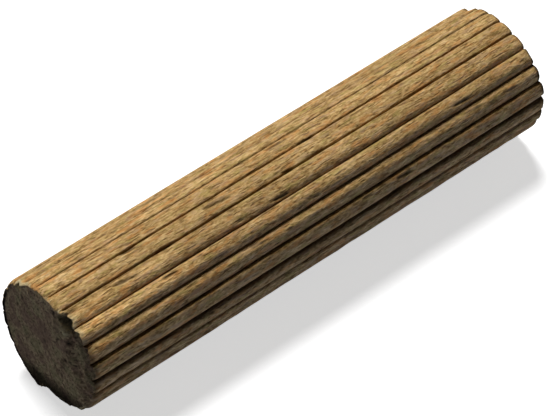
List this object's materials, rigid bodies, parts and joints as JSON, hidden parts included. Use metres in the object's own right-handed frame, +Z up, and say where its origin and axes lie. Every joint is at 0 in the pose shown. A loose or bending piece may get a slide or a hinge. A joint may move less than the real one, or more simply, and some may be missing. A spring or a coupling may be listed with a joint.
{
  "type": "dowel pin",
  "caption": "Round hardwood pin with rolled flutes along its whole length, a chamfered clean end and a worn, torn and chipped sawn end, lying on its side.",
  "frame": {"origin": "on the surface that the pin lies on, under the middle of its length", "axes": "+X along the pin from the worn end to the clean end, +Z up, +Y across"},
  "size_m": [0.04, 0.0098, 0.0097],
  "materials": {
    "wood": "raw, matt, dusty and slightly darkened beech"
  },
  "bodies": {
    "root": {"dowel_pin": "wood"}
  },
  "joints": []
}
